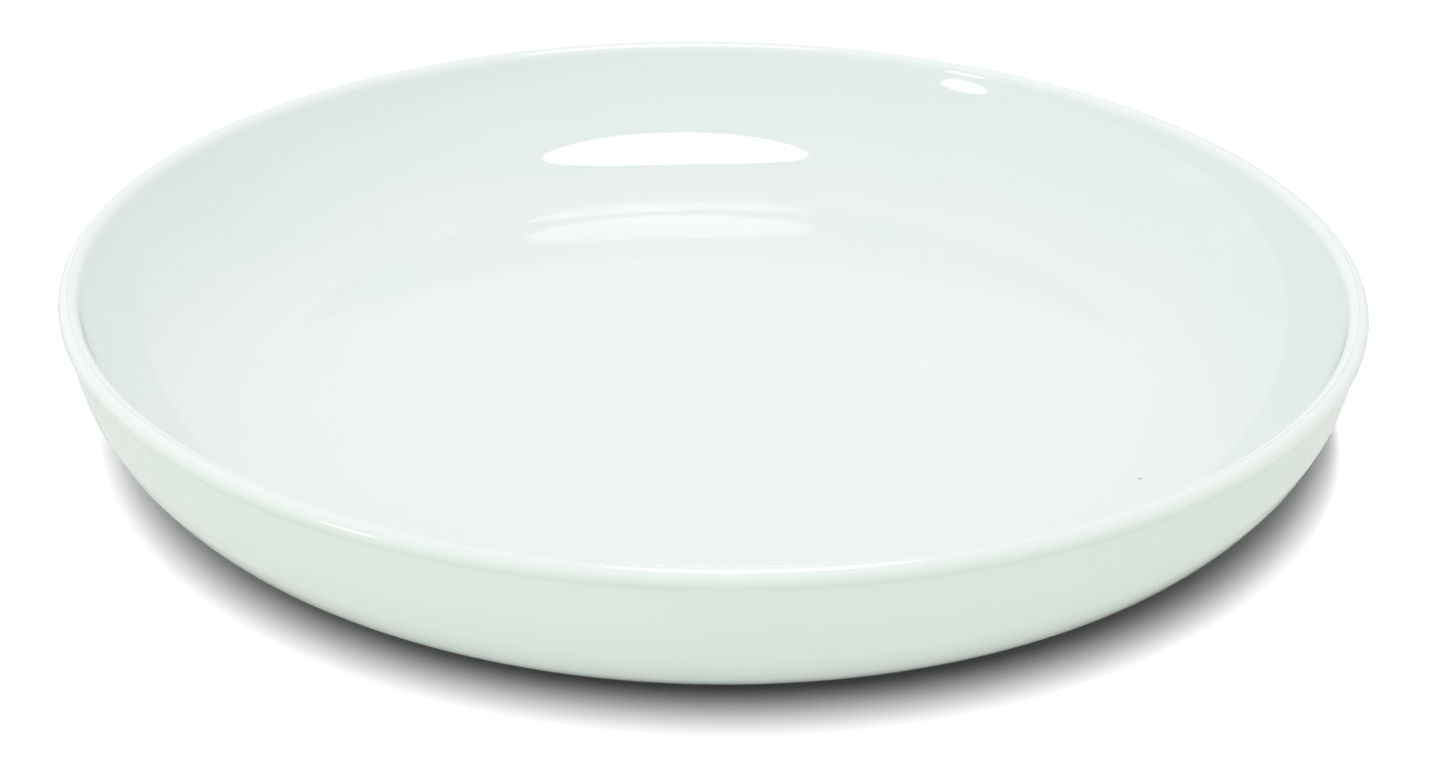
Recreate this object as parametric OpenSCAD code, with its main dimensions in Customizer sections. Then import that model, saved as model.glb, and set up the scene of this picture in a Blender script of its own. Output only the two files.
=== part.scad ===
// Shallow evaporating dish in glazed hard porcelain.
// The origin is the centre of the foot ring's resting plane, +Z points up, units are millimetres.

/* [Dish] */
// Outer diameter over the rim bead, glaze included
rim_d = 250; // [200:5:320]
// Height from the resting plane to the crown of the rim
dish_h = 38; // [38:1:60]
// Slope of the wall, measured from the vertical, in degrees
flare = 11; // [10:1:16]
// Outside radius of the curve that joins the wall to the bottom
corner_r = 32; // [24:1:32]
// Inside radius of the curve that joins the wall to the bottom
basin_r = 34; // [28:1:34]
// Thickness of the wall, glaze included
wall_t = 3.4; // [3.0:0.1:3.6]
// Thickness of the bottom at its centre, glaze included
floor_t = 3.4; // [3.0:0.1:3.6]
// Width of the ring round the bottom's flat middle where the inside curves up, out to the underside's edge
floor_ring_w = 62; // [50:1:64]
// Height that the inside gains over that ring
floor_rise = 2.2; // [1.5:0.1:2.5]

/* [Rim] */
// Diameter of the rounded bead along the rim
rim_t = 3.8; // [3.7:0.1:4.4]
// Radius of the hollow fillet under the bead
rim_fillet_r = 3; // [1.5:0.5:5]

/* [Foot] */
// Distance from the flat bottom's edge in to the middle of the foot ring
foot_setback = 8; // [6:1:30]
// Width of the bare resting face of the foot ring
foot_face_w = 3; // [2:0.5:5]
// Height of the foot ring under the bottom
foot_h = 2.5; // [1.5:0.5:4]
// Slope of the two flanks of the foot ring, measured from the vertical, in degrees
foot_draft = 25; // [10:1:35]

/* [Glaze] */
// Thickness of the fired glaze
glaze_t = 0.3; // [0.2:0.05:0.5]
// Height of the bare band along the foot ring, where the glaze is wiped off
bare_h = 0.8; // [0.5:0.1:1.2]

/* [Hidden] */

// Segments of a full turn
$fn = 360;

// Unit vectors across the wall, pointing out of the dish, and up along the wall
across = [cos(flare), -sin(flare)];
along = [sin(flare), cos(flare)];

// The bead's centre, and the distance from it to the outside of the wall
bead_r = rim_t / 2;
bead = [rim_d / 2 - bead_r, dish_h - bead_r];
bead_to_wall = wall_t - bead_r;

// Common centre of the two curves that join the wall to the bottom
corner_z = foot_h + corner_r;
corner_shift = bead_to_wall - corner_r + (corner_z - bead.y) * sin(flare);
corner = [bead.x + corner_shift / cos(flare), corner_z];

// Radius of the middle of the foot ring
foot_r = corner.x - foot_setback;

// Centre of the hollow fillet under the bead, tangent to the bead and to the wall
fillet_out = bead_to_wall + rim_fillet_r;
fillet_drop = sqrt(pow(bead_r + rim_fillet_r, 2) - pow(fillet_out, 2));
fillet = bead + fillet_out * across - fillet_drop * along;

// The flat middle of the inside of the bottom, and the radius and centre of the curve round it
floor_z = foot_h + floor_t;
flat_r = corner.x - floor_ring_w;
floor_r = (pow(floor_ring_w, 2) + pow(floor_rise, 2)) / (2 * floor_rise);
floor_centre = [flat_r, floor_z + floor_r];

// Centre of the inside curve of the corner, tangent to the wall and to the bottom's curve
basin_line = bead - (bead_r + basin_r) * across - floor_centre;
basin_up = -basin_line * along - sqrt(pow(floor_r - basin_r, 2) - pow(basin_line * across, 2));
basin = floor_centre + basin_line + basin_up * along;
floor_edge = (basin - floor_centre) / (floor_r - basin_r);

// A level above the whole dish, and a length longer than any radius in it
above = 2 * dish_h;
far = rim_d;

// Half section of everything inside the outer surface, set in by inset from that surface.
// Its top edge runs square to the wall through the bead's centre, or lies higher by lift.
module blank(inset, lift = 0) {
    wall_top = bead + (bead_to_wall - inset) * across;
    polygon([
        [0, foot_h + inset],
        [corner.x, foot_h + inset],
        corner + (corner_r - inset) * across,
        wall_top,
        wall_top + [0, lift],
        [0, bead.y + bead.x * tan(flare) + lift]
    ]);
    intersection() {
        translate(corner) circle(corner_r - inset);
        square([far, corner.y]);
    }
}

// Half section of the hollow that holds the liquid, grown by skin into the wall and the bottom
module hollow(skin) {
    bottom_edge = floor_centre + (floor_r + skin) * floor_edge;
    wall_foot = basin + (basin_r + skin) * across;
    wall_top = bead - (bead_r - skin) * across;
    polygon([
        [0, floor_z - skin],
        [flat_r, floor_z - skin],
        bottom_edge,
        wall_foot,
        wall_top,
        wall_top + [0, above],
        [0, above]
    ]);
    translate(basin) circle(basin_r + skin);
    intersection() {
        translate(floor_centre) circle(floor_r + skin);
        translate([flat_r, 0]) square([bottom_edge.x - flat_r, bottom_edge.y + glaze_t]);
    }
}

// Half section of the bead and the fillet under it, set in by skin
module bead_section(skin) {
    translate(bead) circle(bead_r - skin);
    difference() {
        polygon([
            bead,
            fillet - (rim_fillet_r + wall_t / 2) * across,
            fillet
        ]);
        translate(fillet) circle(rim_fillet_r + skin);
    }
}

// Half section of the foot ring, set in by skin on its two flanks and run on into the bottom
module foot_section(skin) {
    face_w = foot_face_w / 2 + glaze_t - skin;
    root_h = foot_h + floor_t / 2;
    root_w = face_w + root_h * tan(foot_draft);
    translate([foot_r, 0]) polygon([
        [-face_w, 0],
        [face_w, 0],
        [root_w, root_h],
        [-root_w, root_h]
    ]);
}

// Half section of the whole dish, set in by skin all over but on the resting face
module dish_section(skin) {
    difference() {
        blank(skin);
        hollow(skin);
    }
    bead_section(skin);
    foot_section(skin);
}

// Half section of the glaze on every glazed surface
module glaze_section() {
    difference() {
        dish_section(0);
        dish_section(glaze_t);
        square([far, bare_h]);
    }
}

// Half section of the space on the inner side of the middle of the wall, up to the rim's crown
module inner_side() {
    blank(bead_to_wall, above);
}

// Half section of the space under the bottom, inside the foot ring
module recess_side() {
    square([foot_r, foot_h + floor_t / 2]);
}

module porcelain_body() {
    color("linen") rotate_extrude() dish_section(glaze_t);
}

module inside_glaze() {
    color("mintcream") rotate_extrude() intersection() {
        glaze_section();
        inner_side();
    }
}

module outside_glaze() {
    color("azure") rotate_extrude() difference() {
        glaze_section();
        inner_side();
        recess_side();
    }
}

module recess_glaze() {
    color("honeydew") rotate_extrude() intersection() {
        glaze_section();
        recess_side();
    }
}

porcelain_body();
inside_glaze();
outside_glaze();
recess_glaze();
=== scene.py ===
import math

import bpy
from mathutils import Matrix, Vector, noise


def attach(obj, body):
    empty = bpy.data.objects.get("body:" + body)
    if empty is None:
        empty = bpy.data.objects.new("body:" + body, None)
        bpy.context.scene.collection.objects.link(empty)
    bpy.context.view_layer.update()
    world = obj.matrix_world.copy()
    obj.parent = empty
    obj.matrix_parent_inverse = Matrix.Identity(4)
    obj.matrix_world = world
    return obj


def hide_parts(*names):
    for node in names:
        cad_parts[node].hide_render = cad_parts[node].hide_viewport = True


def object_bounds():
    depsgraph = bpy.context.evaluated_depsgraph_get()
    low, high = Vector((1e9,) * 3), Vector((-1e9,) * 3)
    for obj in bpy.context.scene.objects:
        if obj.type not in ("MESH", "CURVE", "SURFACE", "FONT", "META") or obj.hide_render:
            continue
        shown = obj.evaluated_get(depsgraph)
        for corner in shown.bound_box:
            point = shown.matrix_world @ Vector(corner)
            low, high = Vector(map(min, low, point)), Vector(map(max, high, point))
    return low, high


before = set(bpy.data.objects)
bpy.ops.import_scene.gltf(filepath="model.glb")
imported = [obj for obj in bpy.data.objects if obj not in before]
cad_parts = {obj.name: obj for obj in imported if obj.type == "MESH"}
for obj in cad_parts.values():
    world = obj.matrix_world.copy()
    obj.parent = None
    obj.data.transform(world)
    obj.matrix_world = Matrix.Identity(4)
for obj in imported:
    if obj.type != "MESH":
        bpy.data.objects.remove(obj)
cad_low, cad_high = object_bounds()

# ------------------------------------------------------------- sizes of the dish, in millimetres and degrees

MM = 0.001
RIM_R = cad_high.x / MM
DISH_H = cad_high.z / MM
FLARE = 11
CORNER_R = 32
BASIN_R = 34
WALL_T = 3.4
FLOOR_T = 3.4
FLOOR_RING_W = 62
FLOOR_RISE = 2.2
RIM_T = 3.8
RIM_FILLET_R = 3
FOOT_SETBACK = 8
FOOT_FACE_W = 3
FOOT_H = 2.5
FOOT_DRAFT = 25
GLAZE_T = 0.3
BARE_H = 0.8

# Small roundings that the CAD model leaves sharp
FOOT_ROOT_R = 1.4
FOOT_EDGE_R = 0.35
GLAZE_LIP_R = 0.22

# Two sets of rings left by the turning tool: pitch and depth, and what the second set is of the first
TURNING_PITCH = 6.5
TURNING_DEPTH = 0.035
SECOND_PITCH = 0.61
SECOND_DEPTH = 0.6

# The slight warp of the firing: out of round, dipped and uneven by up to WARP. The turns, in radians, say
# where round the dish the first two are greatest.
WARP = 0.12
OVAL_TURN = 0.7
DIP_TURN = 1.1
UNEVEN_SHARE = 0.25
UNEVEN_SCALE = 0.02
NOISE_TOP = 0.6

# The mesh: segments of a full turn, lengths between points along the section, the largest turn between two
# points of an arc, and the distances at which points count as one or as on the axis
SEGMENTS = 360
SEEN_STEP = 0.9
HIDDEN_STEP = 4.0
LARGEST_TURN = 8
SAME_POINT = 0.002
ON_AXIS = 0.01

# ---------------------------------------------------------------- the section, as points (radius, height)


def pointing(degrees):
    """Unit vector at an angle from the outward radius, positive upwards."""
    return Vector((math.cos(math.radians(degrees)), math.sin(math.radians(degrees))))


def bearing(v):
    return math.degrees(math.atan2(v.y, v.x))


ACROSS = pointing(-FLARE)
ALONG = pointing(90 - FLARE)
LEVEL_IN = Vector((-1, 0))

BEAD_R = RIM_T / 2
BEAD = Vector((RIM_R - BEAD_R, DISH_H - BEAD_R))
bead_to_wall = WALL_T - BEAD_R
fillet_out = bead_to_wall + RIM_FILLET_R
fillet_drop = math.sqrt((BEAD_R + RIM_FILLET_R) ** 2 - fillet_out**2)
FILLET = BEAD + fillet_out * ACROSS - fillet_drop * ALONG

corner_z = FOOT_H + CORNER_R
corner_shift = bead_to_wall - CORNER_R + (corner_z - BEAD.y) * math.sin(math.radians(FLARE))
CORNER = Vector((BEAD.x + corner_shift / math.cos(math.radians(FLARE)), corner_z))
FOOT_R = CORNER.x - FOOT_SETBACK

FLOOR_Z = FOOT_H + FLOOR_T
FLOOR_R = (FLOOR_RING_W**2 + FLOOR_RISE**2) / (2 * FLOOR_RISE)
FLOOR_CENTRE = Vector((CORNER.x - FLOOR_RING_W, FLOOR_Z + FLOOR_R))
basin_line = BEAD - (BEAD_R + BASIN_R) * ACROSS - FLOOR_CENTRE
basin_up = -basin_line.dot(ALONG) - math.sqrt((FLOOR_R - BASIN_R) ** 2 - basin_line.dot(ACROSS) ** 2)
BASIN = FLOOR_CENTRE + basin_line + basin_up * ALONG


def line(a, b, step):
    count = max(1, math.ceil((b - a).length / step))
    return [a.lerp(b, i / count) for i in range(count + 1)]


def arc(centre, radius, start, end, step):
    turn = abs(end - start)
    count = max(1, math.ceil(math.radians(turn) * radius / step), math.ceil(turn / LARGEST_TURN))
    return [centre + radius * pointing(start + (end - start) * i / count) for i in range(count + 1)]


def rounded(a, corner, b, radius, step):
    """The corner between the lines from a and to b, as an arc of that radius."""
    to_a = (a - corner).normalized()
    to_b = (b - corner).normalized()
    half = to_a.angle(to_b) / 2
    centre = corner + (to_a + to_b).normalized() * radius / math.sin(half)
    reach = radius / math.tan(half)
    start = bearing(corner + reach * to_a - centre)
    end = bearing(corner + reach * to_b - centre)
    if abs(end - start) > 180:
        end += 360 if end < start else -360
    return arc(centre, radius, start, end, step)


def joined(*runs):
    """One list of points from several, without the points that they share."""
    points = []
    for p in (p for run in runs for p in run):
        if not points or (p - points[-1]).length > SAME_POINT:
            points.append(p)
    return points


def turned(points, depth):
    """The points of the outer wall with the shallow rings that the turning tool left, fading at both ends."""
    top, bottom = points[0].y, points[-1].y
    marked = []
    for p in points:
        fade = math.sin(math.pi * (top - p.y) / (top - bottom))
        turns = 2 * math.pi * p.y / TURNING_PITCH
        rings = math.sin(turns) + SECOND_DEPTH * math.sin(turns / SECOND_PITCH)
        marked.append(p - Vector((depth * fade * (1 + SECOND_DEPTH + rings) / 2, 0)))
    return marked


def flank(side, skin, z):
    """Point at height z on the foot ring's outer (side 1) or inner (side -1) flank, set in by skin."""
    half_w = FOOT_FACE_W / 2 + GLAZE_T - skin + z * math.tan(math.radians(FOOT_DRAFT))
    return Vector((FOOT_R + side * half_w, z))


def foot_root(side, skin, step):
    """The rounded corner where the bottom meets a flank of the foot ring, from the bottom to the flank."""
    root = flank(side, skin, FOOT_H + skin)
    return rounded(root + Vector((side, 0)), root, flank(side, skin, 0), FOOT_ROOT_R + skin, step)


def outer_side(skin, step):
    """From the rim's crown over the outer wall to the root of the foot ring, set in by skin."""
    to_fillet = bearing(FILLET - BEAD)
    rim = arc(BEAD, BEAD_R - skin, 90, to_fillet, step)
    under_rim = arc(FILLET, RIM_FILLET_R + skin, to_fillet + 180, 180 - FLARE, step)
    wall_low = CORNER + (CORNER_R - skin) * ACROSS
    wall = line(under_rim[-1], wall_low, step)
    curve = arc(CORNER, CORNER_R - skin, -FLARE, -90, step)
    if skin == 0:
        body = turned(joined(wall, curve), TURNING_DEPTH)
    else:
        body = joined(wall, curve)
    return joined(rim, under_rim, body, foot_root(1, skin, step))


def inner_side(skin, step):
    """From the rim's crown over the inner wall and the bottom to the axis, set in by skin."""
    floor_edge = bearing(BASIN - FLOOR_CENTRE)
    rim = arc(BEAD, BEAD_R - skin, 90, 180 - FLARE, step)
    curve = arc(BASIN, BASIN_R + skin, -FLARE, floor_edge, step)
    bottom = arc(FLOOR_CENTRE, FLOOR_R + skin, floor_edge, -90, step)
    middle = line(bottom[-1], Vector((0, FLOOR_Z - skin)), 2 * step)
    return joined(rim, line(rim[-1], curve[0], step), curve, bottom, middle)


def recess_side(skin, step):
    """From the root of the foot ring's inner flank to the axis under the bottom, set in by skin."""
    root = foot_root(-1, skin, step)[::-1]
    return joined(root, line(root[-1], Vector((0, FOOT_H + skin)), 2 * step))


def glaze_end(side):
    """The rounded lower edge of the glaze on a flank of the foot ring, from its outside to the body."""
    outside = flank(side, 0, BARE_H)
    inside = flank(side, GLAZE_T, BARE_H)
    lip = rounded(flank(side, 0, FOOT_H), outside, inside, GLAZE_LIP_R, HIDDEN_STEP)
    return joined(lip, [inside])


def bare_foot():
    """The unglazed end of the foot ring with its ground face, from the outer flank to the inner one."""
    outer_edge = flank(1, GLAZE_T, 0)
    inner_edge = flank(-1, GLAZE_T, 0)
    return joined(
        rounded(flank(1, GLAZE_T, BARE_H), outer_edge, inner_edge, FOOT_EDGE_R, SEEN_STEP / 4),
        rounded(outer_edge, inner_edge, flank(-1, GLAZE_T, BARE_H), FOOT_EDGE_R, SEEN_STEP / 4),
    )


# ---------------------------------------------------------------- meshes


def fired(p):
    """The place of a point after the firing: the dish sags and warps a little, and never outgrows its box."""
    around = math.atan2(p.y, p.x)
    out = math.hypot(p.x, p.y) / RIM_R
    up = p.z / DISH_H
    oval = -WARP * up * (1 + math.cos(2 * around + OVAL_TURN)) / 2
    dip = -WARP * up * out**4 * (1 + math.cos(3 * around - DIP_TURN)) / 2
    uneven = UNEVEN_SHARE * WARP * up * (noise.noise(p * UNEVEN_SCALE) - NOISE_TOP)
    stretch = 1 + (oval + uneven) / RIM_R
    return Vector((p.x * stretch, p.y * stretch, p.z + dip))


def counterclockwise(section):
    """The section in the order that turns the faces' normals out of the solid."""
    twice_area = sum(a.x * b.y - b.x * a.y for a, b in zip(section, section[1:] + section[:1]))
    return section if twice_area > 0 else section[::-1]


def revolved(name, section, closed):
    """A smooth solid of revolution. The section runs from axis to axis, or round in a loop when closed."""
    section = counterclockwise(section)
    vertices = []
    rings = []
    for p in section:
        first = len(vertices)
        count = SEGMENTS if p.x > ON_AXIS else 1
        for i in range(count):
            around = 2 * math.pi * i / SEGMENTS
            placed = fired(Vector((p.x * math.cos(around), p.x * math.sin(around), p.y)))
            vertices.append(placed * MM)
        rings.append([first + i % count for i in range(SEGMENTS + 1)])
    if closed:
        rings.append(rings[0])
    faces = []
    for a, b in zip(rings, rings[1:]):
        for i in range(SEGMENTS):
            corners = [a[i], a[i + 1], b[i + 1], b[i]]
            faces.append(list(dict.fromkeys(corners)))
    mesh = bpy.data.meshes.new(name)
    mesh.from_pydata(vertices, [], faces)
    mesh.shade_smooth()
    piece = bpy.data.objects.new(name, mesh)
    bpy.context.scene.collection.objects.link(piece)
    return piece


def dish_piece(name, section, closed, material, node):
    piece = revolved(name, section, closed)
    piece.data.materials.append(material)
    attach(piece, "root")
    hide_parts(node)
    return piece


# ---------------------------------------------------------------- materials


class Nodes:
    """Short ways to add nodes to a material's tree."""

    def __init__(self, tree):
        self.tree = tree
        self.tree.nodes.clear()

    def add(self, kind, inputs=None, **settings):
        node = self.tree.nodes.new(kind)
        for key, value in settings.items():
            setattr(node, key, value)
        for key, value in (inputs or {}).items():
            if isinstance(value, bpy.types.NodeSocket):
                self.tree.links.new(value, node.inputs[key])
            else:
                node.inputs[key].default_value = value
        return node

    def math(self, operation, *values):
        return self.add("ShaderNodeMath", dict(enumerate(values)), operation=operation).outputs[0]

    def noise(self, place, scale, detail=3.0, roughness=0.5):
        inputs = {"Vector": place, "Scale": scale, "Detail": detail, "Roughness": roughness}
        return self.add("ShaderNodeTexNoise", inputs).outputs["Fac"]

    def spread(self, value, low, high, to_low, to_high):
        """value from low..high to to_low..to_high, held at the ends."""
        inputs = {"Value": value, "From Min": low, "From Max": high, "To Min": to_low, "To Max": to_high}
        return self.add("ShaderNodeMapRange", inputs).outputs["Result"]

    def blend(self, amount, a, b, kind="MIX"):
        """Colour a where amount is 0, b where it is 1, or a times b for the kind MULTIPLY."""
        node = self.add("ShaderNodeMix", {"Factor": amount}, data_type="RGBA", blend_type=kind)
        for socket, value in ((node.inputs[6], a), (node.inputs[7], b)):
            if isinstance(value, bpy.types.NodeSocket):
                self.tree.links.new(value, socket)
            else:
                socket.default_value = value
        return node.outputs[2]

    def bump(self, height, distance, normal=None):
        inputs = {"Height": height, "Distance": distance}
        if normal is not None:
            inputs["Normal"] = normal
        return self.add("ShaderNodeBump", inputs).outputs["Normal"]


def new_material(name):
    material = bpy.data.materials.new(name)
    material.use_nodes = True
    return material, Nodes(material.node_tree)


IOR = 1.5


def ceramic_surface(n, colour, roughness, normal):
    inputs = {"Base Color": colour, "Roughness": roughness, "IOR": IOR, "Normal": normal}
    shader = n.add("ShaderNodeBsdfPrincipled", inputs)
    n.add("ShaderNodeOutputMaterial", {"Surface": shader.outputs["BSDF"]})


# Glaze colours, and the heights in metres between which one passes into the next. The bottom colour is the
# glaze's colour with a painted reflection of the overhead light. The rim's paler colour is partly the thin
# glaze and partly painted light on its top.
# Painted reflection: the inside bottom is cooler and paler where it faces the overhead light.
GLAZE_BOTTOM_REFLECTION_COLOUR = (0.818, 0.86, 0.858, 1)
GLAZE_WALL_COLOUR = (0.80, 0.86, 0.83, 1)
GLAZE_OUTSIDE_COLOUR = (0.765, 0.858, 0.788, 1)
# Partly painted light: the rim is paler where its top faces the light, as well as where the glaze runs thin.
GLAZE_THIN_AND_LIT_COLOUR = (0.815, 0.862, 0.842, 1)
GLAZE_POOLED_TINT = (0.965, 0.99, 0.965, 1)
REFLECTION_TO_WALL = (0.008, 0.020)
WALL_TO_THIN_AND_LIT = (0.0355, 0.0380)

# Dark specks in the glaze: about one cell in 14 holds one, and one more lies on the bottom. SPECK_RADII are
# parts of a cell, the bottom one's place and radii are in metres.
SPECK_COLOUR = (0.33, 0.36, 0.31, 1)
SPECK_CELLS = 26.0
SPECK_CHANCE_OVER = 0.93
SPECK_RADII = (0.006, 0.013)
BOTTOM_SPECK_PLACE = (0.0804, -0.0369, 0.0078)
BOTTOM_SPECK_RADII = (0.0002, 0.0005)
BOTTOM_SPECK_DARKNESS = 0.9

# Scales of the glaze's clouds, smears, waves and pinholes, the ranges of noise that make clouds and smears,
# and heights in metres of the waves and pinholes
CLOUD_SCALE = 14.0
CLOUD_RANGE = (0.35, 0.7)
CLOUD_DEPTH = 0.7
SMEAR_SCALE = 60.0
SMEAR_RANGE = (0.3, 0.75)
SMEAR_ROUGHNESS = (0.035, 0.075)
WAVE_SCALE = 45.0
WAVE_HEIGHT = 0.00002
PINHOLE_SCALE = 2600.0
PINHOLE_HEIGHT = 0.0000006


def glaze_specks(n, place):
    """How much of the speck colour there is at a place."""
    cells = n.add("ShaderNodeTexVoronoi", {"Vector": place, "Scale": SPECK_CELLS})
    cell_value = n.add("ShaderNodeSeparateColor", {"Color": cells.outputs["Color"]}).outputs[0]
    chosen = n.math("GREATER_THAN", cell_value, SPECK_CHANCE_OVER)
    dot = n.spread(cells.outputs["Distance"], *SPECK_RADII, 1.0, 0.0)
    apart = n.add("ShaderNodeVectorMath", {0: place, 1: BOTTOM_SPECK_PLACE}, operation="DISTANCE")
    on_bottom = n.spread(apart.outputs["Value"], *BOTTOM_SPECK_RADII, BOTTOM_SPECK_DARKNESS, 0.0)
    return n.math("MAXIMUM", n.math("MULTIPLY", dot, chosen), on_bottom)


def glaze_material(name, low_colour, high_colour):
    """High-gloss feldspar glaze: low_colour on the bottom, thin on the rim, deeper where it pooled. Inside,
    the bottom colour is a painted reflection of the overhead light, and the rim's paler colour is partly
    painted light on its top.
    """
    material, n = new_material(name)
    place = n.add("ShaderNodeTexCoord").outputs["Object"]
    height = n.add("ShaderNodeSeparateXYZ", {"Vector": place}).outputs["Z"]

    cloud = n.noise(place, CLOUD_SCALE, detail=4.0)
    pooled = n.spread(cloud, *CLOUD_RANGE, 0.0, CLOUD_DEPTH)
    # Painted reflection of the overhead light on the inside bottom, fading into the wall colour by height.
    colour = n.blend(n.spread(height, *REFLECTION_TO_WALL, 0.0, 1.0), low_colour, high_colour)
    colour = n.blend(pooled, colour, GLAZE_POOLED_TINT, "MULTIPLY")
    # Paler rim: partly thin glaze, partly painted light on the rim's top.
    colour = n.blend(n.spread(height, *WALL_TO_THIN_AND_LIT, 0.0, 1.0), colour, GLAZE_THIN_AND_LIT_COLOUR)
    colour = n.blend(glaze_specks(n, place), colour, SPECK_COLOUR)

    smear = n.noise(place, SMEAR_SCALE, detail=5.0, roughness=0.6)
    roughness = n.spread(smear, *SMEAR_RANGE, *SMEAR_ROUGHNESS)
    normal = n.bump(n.noise(place, WAVE_SCALE, detail=2.0), WAVE_HEIGHT)
    normal = n.bump(n.noise(place, PINHOLE_SCALE, detail=1.0), PINHOLE_HEIGHT, normal)
    ceramic_surface(n, colour, roughness, normal)
    return material


BISQUE_COLOUR = (0.78, 0.76, 0.70, 1)
BISQUE_WORN_COLOUR = (0.55, 0.53, 0.49, 1)
BISQUE_GRAIN_COLOUR = (0.62, 0.60, 0.55, 1)
BISQUE_WORN_H = 0.0007
BISQUE_ROUGHNESS = (0.7, 0.9)

# Scales of the grain and of the scuffs, the ranges of noise that count, what they do to the colour, and the
# grain's height in metres
GRAIN_SCALE = 1800.0
GRAIN_RANGE = (0.3, 0.7)
DARK_GRAIN_RANGE = (0.55, 0.75)
DARK_GRAIN_DEPTH = 0.35
GRAIN_HEIGHT = 0.00006
SCUFF_SCALE = 160.0
SCUFF_RANGE = (0.4, 0.65)
SCUFF_DEPTH = (0.1, 0.8)


def bisque_material():
    """Unglazed fired porcelain: matte, sandy, and greyed where the foot rubs on the bench."""
    material, n = new_material("bare_porcelain")
    place = n.add("ShaderNodeTexCoord").outputs["Object"]
    height = n.add("ShaderNodeSeparateXYZ", {"Vector": place}).outputs["Z"]
    grain = n.noise(place, GRAIN_SCALE, detail=6.0, roughness=0.7)
    scuffs = n.noise(place, SCUFF_SCALE, detail=5.0, roughness=0.65)
    low = n.spread(height, 0.0, BISQUE_WORN_H, 1.0, 0.0)
    worn = n.math("MULTIPLY", low, n.spread(scuffs, *SCUFF_RANGE, *SCUFF_DEPTH))
    colour = n.blend(worn, BISQUE_COLOUR, BISQUE_WORN_COLOUR)
    dark_grain = n.spread(grain, *DARK_GRAIN_RANGE, 0.0, DARK_GRAIN_DEPTH)
    colour = n.blend(dark_grain, colour, BISQUE_GRAIN_COLOUR)
    roughness = n.spread(grain, *GRAIN_RANGE, *BISQUE_ROUGHNESS)
    ceramic_surface(n, colour, roughness, n.bump(grain, GRAIN_HEIGHT))
    return material


# ---------------------------------------------------------------- the dish

inner_glaze = glaze_material("inner_glazed_porcelain", GLAZE_BOTTOM_REFLECTION_COLOUR, GLAZE_WALL_COLOUR)
outer_glaze = glaze_material("outer_glazed_porcelain", GLAZE_OUTSIDE_COLOUR, GLAZE_OUTSIDE_COLOUR)
bisque = bisque_material()

dish_piece(
    "inner_glaze_coat",
    joined(inner_side(0, SEEN_STEP)[::-1], inner_side(GLAZE_T, HIDDEN_STEP)),
    False,
    inner_glaze,
    "inside_glaze",
)
dish_piece(
    "outer_glaze_coat",
    joined(outer_side(0, SEEN_STEP / 2), glaze_end(1), outer_side(GLAZE_T, HIDDEN_STEP)[::-1]),
    True,
    outer_glaze,
    "outside_glaze",
)
dish_piece(
    "recess_glaze_coat",
    joined(recess_side(0, SEEN_STEP)[::-1], glaze_end(-1), recess_side(GLAZE_T, HIDDEN_STEP)),
    False,
    outer_glaze,
    "recess_glaze",
)
dish_piece(
    "bisque_body",
    joined(
        inner_side(GLAZE_T, HIDDEN_STEP)[::-1],
        outer_side(GLAZE_T, HIDDEN_STEP),
        bare_foot(),
        recess_side(GLAZE_T, HIDDEN_STEP),
    ),
    False,
    bisque,
    "porcelain_body",
)

# ---------------------------------------------------------------- floor, light and camera, in metres

FLOOR_SIZE = 8.0
FLOOR_COLOUR = (0.13, 0.13, 0.13, 1)
FLOOR_SEEN_COLOUR = (0.225, 0.225, 0.225, 1)


def floor_material():
    """Matte paper under a strong lamp, so that it shows as pure white. The dish sees it darker."""
    material, n = new_material("studio_paper")
    lit = n.add("ShaderNodeBsdfDiffuse", {"Color": FLOOR_COLOUR})
    seen = n.add("ShaderNodeBsdfDiffuse", {"Color": FLOOR_SEEN_COLOUR})
    by_camera = n.add("ShaderNodeLightPath").outputs["Is Camera Ray"]
    shader = n.add("ShaderNodeMixShader", {0: by_camera, 1: lit.outputs[0], 2: seen.outputs[0]})
    n.add("ShaderNodeOutputMaterial", {"Surface": shader.outputs[0]})
    return material


def make_floor():
    half = FLOOR_SIZE / 2
    mesh = bpy.data.meshes.new("studio_floor")
    corners = [(-half, -half, 0), (half, -half, 0), (half, half, 0), (-half, half, 0)]
    mesh.from_pydata(corners, [], [(0, 1, 2, 3)])
    mesh.materials.append(floor_material())
    floor = bpy.data.objects.new("studio_floor", mesh)
    floor.location.z = cad_low.z
    bpy.context.scene.collection.objects.link(floor)
    return floor


# Brightness of the studio all round, and what the high part behind the camera and the low part at the left
# add. The low part at the right is darker by as much. SKY_SIDE_FALL is the power of their fade upwards.
SKY_EVEN = 1.03
SKY_FRONT = 0.45
SKY_SIDE = 0.35
SKY_SIDE_FALL = 4.0


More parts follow.
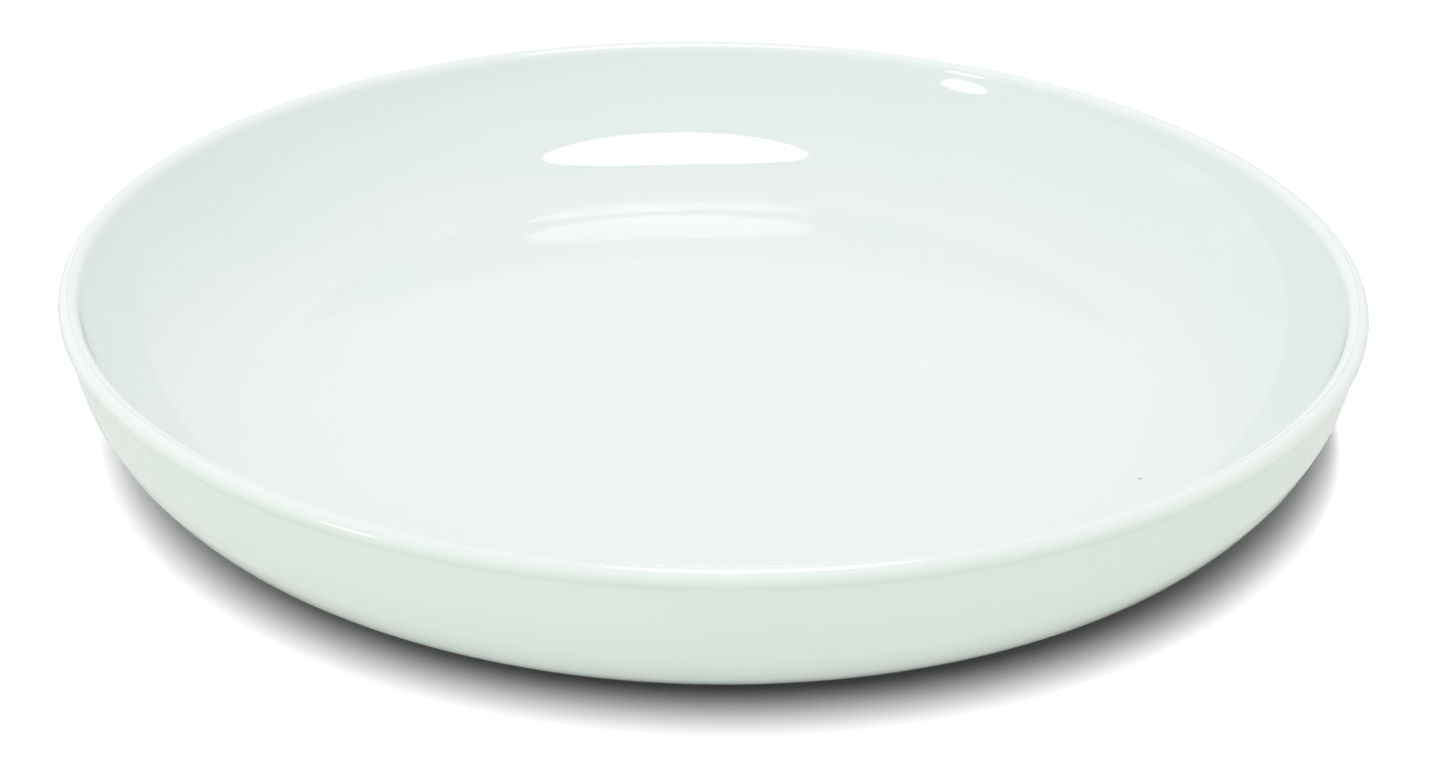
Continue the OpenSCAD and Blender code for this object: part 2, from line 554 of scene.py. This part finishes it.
def make_world():
    """A white studio, brighter behind the camera and low at the left. The camera itself sees white."""
    world = bpy.data.worlds.new("studio")
    world.use_nodes = True
    bpy.context.scene.world = world
    n = Nodes(world.node_tree)
    direction = n.add("ShaderNodeTexCoord").outputs["Generated"]
    x, y, z = n.add("ShaderNodeSeparateXYZ", {"Vector": direction}).outputs
    toward = n.math("MAXIMUM", n.math("MULTIPLY", y, -1.0), 0.0)
    height = n.math("MAXIMUM", z, 0.0)
    front = n.math("MULTIPLY", toward, n.math("MULTIPLY", n.math("MULTIPLY", height, height), SKY_FRONT))
    lowness = n.math("POWER", n.math("SUBTRACT", 1.0, height), SKY_SIDE_FALL)
    side = n.math("MULTIPLY", x, n.math("MULTIPLY", lowness, -SKY_SIDE))
    strength = n.math("ADD", n.math("ADD", side, front), SKY_EVEN)
    light = n.add("ShaderNodeBackground", {"Color": (1, 1, 1, 1), "Strength": strength})
    seen = n.add("ShaderNodeBackground", {"Color": (1, 1, 1, 1), "Strength": 1.0})
    by_camera = n.add("ShaderNodeLightPath").outputs["Is Camera Ray"]
    shader = n.add("ShaderNodeMixShader", {0: by_camera, 1: light.outputs[0], 2: seen.outputs[0]})
    n.add("ShaderNodeOutputWorld", {"Surface": shader.outputs[0]})


def area_light(name, place, aim, size, radiance, diffuse=True, glossy=True):
    """An elliptical soft light of that radiance, facing aim. A radiance of 1 shows as white."""
    light = bpy.data.lights.new(name, "AREA")
    light.shape = "ELLIPSE"
    light.size, light.size_y = size
    lit_area = math.pi / 4 * light.size * light.size_y
    light.energy = radiance * math.pi * lit_area
    lamp = bpy.data.objects.new(name, light)
    lamp.location = place
    lamp.rotation_euler = (Vector(place) - Vector(aim)).to_track_quat("Z", "Y").to_euler()
    lamp.visible_camera = False
    lamp.visible_diffuse = diffuse
    lamp.visible_glossy = glossy
    bpy.context.scene.collection.objects.link(lamp)
    return lamp


# The two lamps that show in the glaze: place, size and radiance
SOFTBOX = (0.085, -0.095, 1.0)
SOFTBOX_SIZE = (0.50, 0.50)
SOFTBOX_RADIANCE = 10.0
SIDE_LAMP = (-0.59, -0.44, 0.13)
SIDE_LAMP_AIM = (0.057, 0.106, 0.034)
SIDE_LAMP_SIZE = (0.125, 0.11)
SIDE_LAMP_RADIANCE = 12.0

# The lamp for the floor alone: its direction from the dish, its distance, and its size at a distance of 1
FLOOR_LAMP_DIRECTION = Vector((-0.06, -0.53, 0.89))
FLOOR_LAMP_DISTANCE = 20.0
FLOOR_LAMP_SIZE = (0.12, 0.95)
FLOOR_LAMP_RADIANCE = 255.0


def make_lights(floor):
    below_softbox = (SOFTBOX[0], SOFTBOX[1], 0)
    area_light("octabox", SOFTBOX, below_softbox, SOFTBOX_SIZE, SOFTBOX_RADIANCE, diffuse=False)
    area_light("side_lamp", SIDE_LAMP, SIDE_LAMP_AIM, SIDE_LAMP_SIZE, SIDE_LAMP_RADIANCE, diffuse=False)
    place = FLOOR_LAMP_DISTANCE * FLOOR_LAMP_DIRECTION
    size = [FLOOR_LAMP_DISTANCE * side for side in FLOOR_LAMP_SIZE]
    lamp = area_light("floor_lamp", place, (0, 0, 0), size, FLOOR_LAMP_RADIANCE, glossy=False)
    only_floor = bpy.data.collections.new("lit_by_floor_lamp")
    only_floor.objects.link(floor)
    lamp.light_linking.receiver_collection = only_floor


# Lens in millimetres, distances in metres, angles in degrees
CAMERA_LENS = 64.09
CAMERA_DISTANCE = 0.5
CAMERA_ELEVATION = 26.31
CAMERA_ROLL = 0.885
CAMERA_ASIDE = 0.0014
CAMERA_DROP = 0.0264


def make_camera():
    """In front and above, moved a little sideways and down from the line to the middle of the rim."""
    tilt = math.radians(CAMERA_ELEVATION)
    back = Vector((0, -math.cos(tilt), math.sin(tilt)))
    right = Vector((1, 0, 0))
    up = back.cross(right)
    data = bpy.data.cameras.new("camera")
    data.lens = CAMERA_LENS
    data.clip_start = 0.01
    camera = bpy.data.objects.new("camera", data)
    turn = Matrix((right, up, back)).transposed() @ Matrix.Rotation(math.radians(CAMERA_ROLL), 3, "Z")
    place = Vector((0, 0, cad_high.z)) + CAMERA_DISTANCE * back + CAMERA_ASIDE * right - CAMERA_DROP * up
    camera.matrix_world = Matrix.Translation(place) @ turn.to_4x4()
    bpy.context.scene.collection.objects.link(camera)
    bpy.context.scene.camera = camera


make_world()
make_lights(make_floor())
make_camera()
bpy.context.scene.view_settings.view_transform = "Standard"
